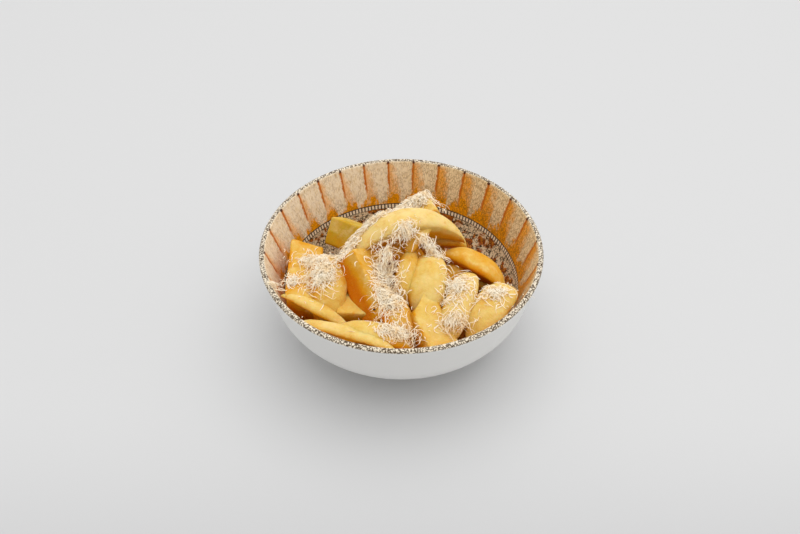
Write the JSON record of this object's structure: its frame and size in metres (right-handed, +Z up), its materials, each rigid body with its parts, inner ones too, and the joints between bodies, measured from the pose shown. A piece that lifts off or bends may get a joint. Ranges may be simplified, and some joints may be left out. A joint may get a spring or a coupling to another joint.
{
  "type": "bowl of potato wedges",
  "caption": "Small round patterned bowl filled with a heap of thick fried potato wedges under finely grated cheese.",
  "frame": {"origin": "middle of the foot ring, on the plane that the bowl stands on", "axes": "+Z up, -Y towards the side where the heap reaches the rim, +X to the right seen from there"},
  "size_m": [0.16, 0.16, 0.0803],
  "materials": {
    "bowl_glaze": "white satin glaze outside, cream and brown painted glaze inside",
    "fried_potato": "golden fried potato",
    "grated_cheese": "pale cream grated hard cheese"
  },
  "bodies": {
    "root": {"bowl": "bowl_glaze", "fries": "fried_potato"}
  },
  "joints": []
}
